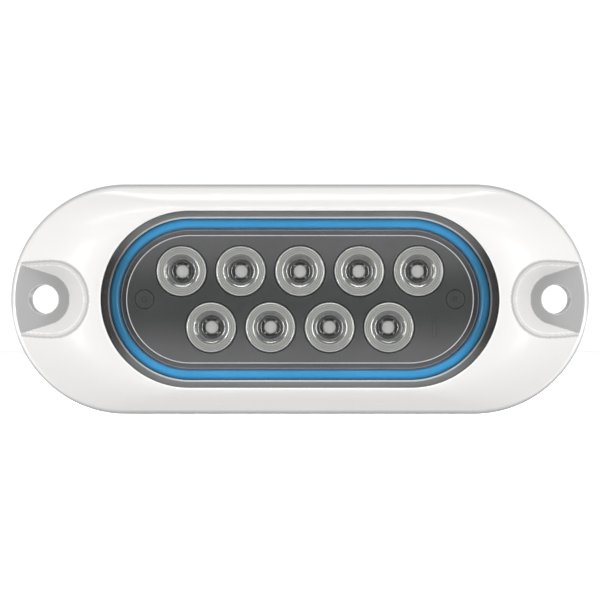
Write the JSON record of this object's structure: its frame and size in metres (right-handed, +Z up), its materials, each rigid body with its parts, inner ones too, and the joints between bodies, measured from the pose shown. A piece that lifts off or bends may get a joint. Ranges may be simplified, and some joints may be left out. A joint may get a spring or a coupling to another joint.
{
  "type": "underwater pool light",
  "caption": "Slim oval surface-mounted underwater light: domed white bezel with two screw ears, clear window over a blue seal, LED optics in a dark panel, rear cable gland.",
  "frame": {"origin": "centre of the back face of the mounting gasket, on the wall's surface", "axes": "+X along the light towards the ear on the viewer's right, +Z up the wall, +Y into the wall; the light shines along -Y"},
  "size_m": [0.16, 0.0321, 0.0636],
  "materials": {
    "white_shell": "glossy moulded, warm white",
    "window_clear": "polished, clear",
    "blue_seal": "satin silicone, mid blue",
    "dark_housing": "satin, dark grey",
    "black_rubber": "matt",
    "dark_panel": "satin, dark grey",
    "optic_clear": "polished, clear acrylic",
    "led_phosphor": "pale yellow silicone dome",
    "white_board": "matt white solder mask",
    "green_board": "satin green solder mask",
    "grey_pad": "matt silicone",
    "stainless": "machined",
    "ferrite": "matt ferrite",
    "capacitor_can": "satin can",
    "black_chip": "matt epoxy",
    "brass_plain": "machined",
    "green_terminal": "satin moulded",
    "red_sleeve": "satin PVC",
    "black_sleeve": "satin PVC",
    "black_nylon": "satin moulded nylon"
  },
  "bodies": {
    "light": {"bezel": "white_shell", "board_link": "brass_plain", "board_screw_1": "stainless", "board_screw_2": "stainless", "board_screw_3": "stainless", "board_screw_4": "stainless", "case_screw_1": "stainless", "case_screw_2": "stainless", "case_screw_3": "stainless", "case_screw_4": "stainless", "case_screw_5": "stainless", "case_screw_6": "stainless", "driver_board": "green_board", "driver_chip": "black_chip", "driver_insulator": "grey_pad", "gland_body": "black_nylon", "gland_oring": "black_rubber", "gland_seal": "black_rubber", "housing": "dark_housing", "inductor": "ferrite", "input_capacitor": "capacitor_can", "lead_black": "black_sleeve", "lead_red": "red_sleeve", "led_1": "led_phosphor", "led_2": "led_phosphor", "led_3": "led_phosphor", "led_4": "led_phosphor", "led_5": "led_phosphor", "led_6": "led_phosphor", "led_7": "led_phosphor", "led_8": "led_phosphor", "led_9": "led_phosphor", "led_board": "white_board", "lens": "window_clear", "mounting_gasket": "black_rubber", "optic_1": "optic_clear", "optic_2": "optic_clear", "optic_3": "optic_clear", "optic_4": "optic_clear", "optic_5": "optic_clear", "optic_6": "optic_clear", "optic_7": "optic_clear", "optic_8": "optic_clear", "optic_9": "optic_clear", "optic_panel": "dark_panel", "output_capacitor": "capacitor_can", "panel_screw_left": "dark_panel", "panel_screw_right": "dark_panel", "terminal_block": "green_terminal", "thermal_pad": "grey_pad", "window_seal": "blue_seal"},
    "thrust_ring": {"gland_ring": "brass_plain"},
    "compression_nut": {"gland_nut": "black_nylon"}
  },
  "joints": [
    {"name": "gland_ring_slide", "type": "slide", "parent": "light", "child": "thrust_ring", "axis": [0, 1, 0], "range_m": [0, 0.0045]},
    {"name": "gland_nut_turn", "type": "hinge", "parent": "thrust_ring", "child": "compression_nut", "pos_m": [0.0385, 0.0097, -0.0076], "axis": [0, 1, 0], "range_deg": [0, 1080]}
  ],
  "couplings": [
    {"joint": "gland_ring_slide", "follows": "gland_nut_turn", "m_per_rad": 0.00023873}
  ]
}
